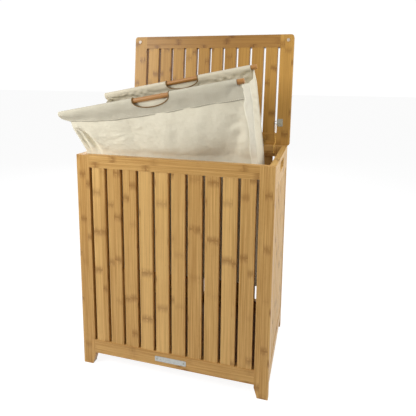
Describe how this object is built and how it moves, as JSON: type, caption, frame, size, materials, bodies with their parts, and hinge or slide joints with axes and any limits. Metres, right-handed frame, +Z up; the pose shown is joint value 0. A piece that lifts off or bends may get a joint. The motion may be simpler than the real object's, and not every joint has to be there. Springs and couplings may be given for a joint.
{
  "type": "laundry hamper",
  "caption": "Tall rectangular slatted bamboo laundry hamper with a hinged slatted lid standing open and a canvas liner on two rods lifted part of the way out.",
  "frame": {"origin": "middle of the rectangle that the four feet stand on, at floor level", "axes": "+Z up, -Y towards the slatted front with the name plate, +X to the right seen from the front"},
  "size_m": [0.5367, 0.4003, 0.9164],
  "materials": {
    "bamboo_frame": "clear satin lacquer",
    "bamboo_slat": "clear satin lacquer",
    "bamboo_lid": "clear satin lacquer",
    "bamboo_panel": "clear satin lacquer",
    "dowel": "plain turned wood",
    "canvas": "plain cream cotton canvas",
    "hinge_brass": "satin brass plated",
    "stay_brass": "bright brass plated",
    "stay_steel": "plated steel",
    "screw_steel": "plated steel",
    "plate_metal": "brushed, bare",
    "bumper_clear": "soft translucent plastic"
  },
  "bodies": {
    "hamper": {"front_left_leg": "bamboo_frame", "front_right_leg": "bamboo_frame", "rear_left_leg": "bamboo_frame", "rear_right_leg": "bamboo_frame", "front_top_rail": "bamboo_frame", "front_bottom_rail": "bamboo_frame", "rear_top_rail": "bamboo_frame", "rear_bottom_rail": "bamboo_frame", "left_top_rail": "bamboo_frame", "right_top_rail": "bamboo_frame", "left_bottom_rail": "bamboo_frame", "right_bottom_rail": "bamboo_frame", "front_slat_01": "bamboo_slat", "front_slat_02": "bamboo_slat", "front_slat_03": "bamboo_slat", "front_slat_04": "bamboo_slat", "front_slat_05": "bamboo_slat", "front_slat_06": "bamboo_slat", "front_slat_07": "bamboo_slat", "front_slat_08": "bamboo_slat", "front_slat_09": "bamboo_slat", "front_slat_10": "bamboo_slat", "rear_slats": "bamboo_slat", "left_side_slats": "bamboo_slat", "right_side_slats": "bamboo_slat", "floor_panel": "bamboo_panel", "floor_cleats": "bamboo_panel", "rod_rests": "bamboo_panel", "left_hinge_body_leaf": "hinge_brass", "right_hinge_body_leaf": "hinge_brass", "hinge_pins": "screw_steel", "hinge_body_screws": "screw_steel", "stay_screw_eye": "stay_brass", "stay_chain": "stay_brass", "name_plate": "plate_metal", "name_plate_pins": "screw_steel"},
    "lid": {"lid_front_rail": "bamboo_lid", "lid_rear_rail": "bamboo_lid", "lid_left_rail": "bamboo_lid", "lid_right_rail": "bamboo_lid", "lid_slat_01": "bamboo_lid", "lid_slat_02": "bamboo_lid", "lid_slat_03": "bamboo_lid", "lid_slat_04": "bamboo_lid", "lid_slat_05": "bamboo_lid", "lid_slat_06": "bamboo_lid", "lid_slat_07": "bamboo_lid", "lid_slat_08": "bamboo_lid", "lid_slat_09": "bamboo_lid", "lid_slat_10": "bamboo_lid", "lid_bumpers": "bumper_clear", "left_hinge_lid_leaf": "hinge_brass", "right_hinge_lid_leaf": "hinge_brass", "lid_screws": "screw_steel", "lid_stay_bracket": "stay_steel"},
    "liner": {"liner_bag": "canvas"},
    "liner_rods": {"front_rod": "dowel", "rear_rod": "dowel"}
  },
  "joints": [
    {"name": "lid_hinge", "type": "hinge", "parent": "hamper", "child": "lid", "pos_m": [0, 0.1658, 0.585], "axis": [1, 0, 0], "range_deg": [0, 96], "deforming": ["stay_chain"]},
    {"name": "liner_raise", "type": "slide", "parent": "hamper", "child": "liner", "axis": [0, 0, 1], "range_m": [-0.2211, 0], "deforming": ["liner_bag"]},
    {"name": "liner_tip", "type": "hinge", "parent": "liner", "child": "liner_rods", "pos_m": [0, -0.0235, 0.5306], "axis": [0.7321, -0.6812, 0], "range_deg": [-15.73, 0]}
  ],
  "couplings": [
    {"joint": "liner_raise", "follows": "lid_hinge", "m_per_rad": -0.13166},
    {"joint": "liner_tip", "follows": "lid_hinge", "ratio": -0.16362}
  ]
}
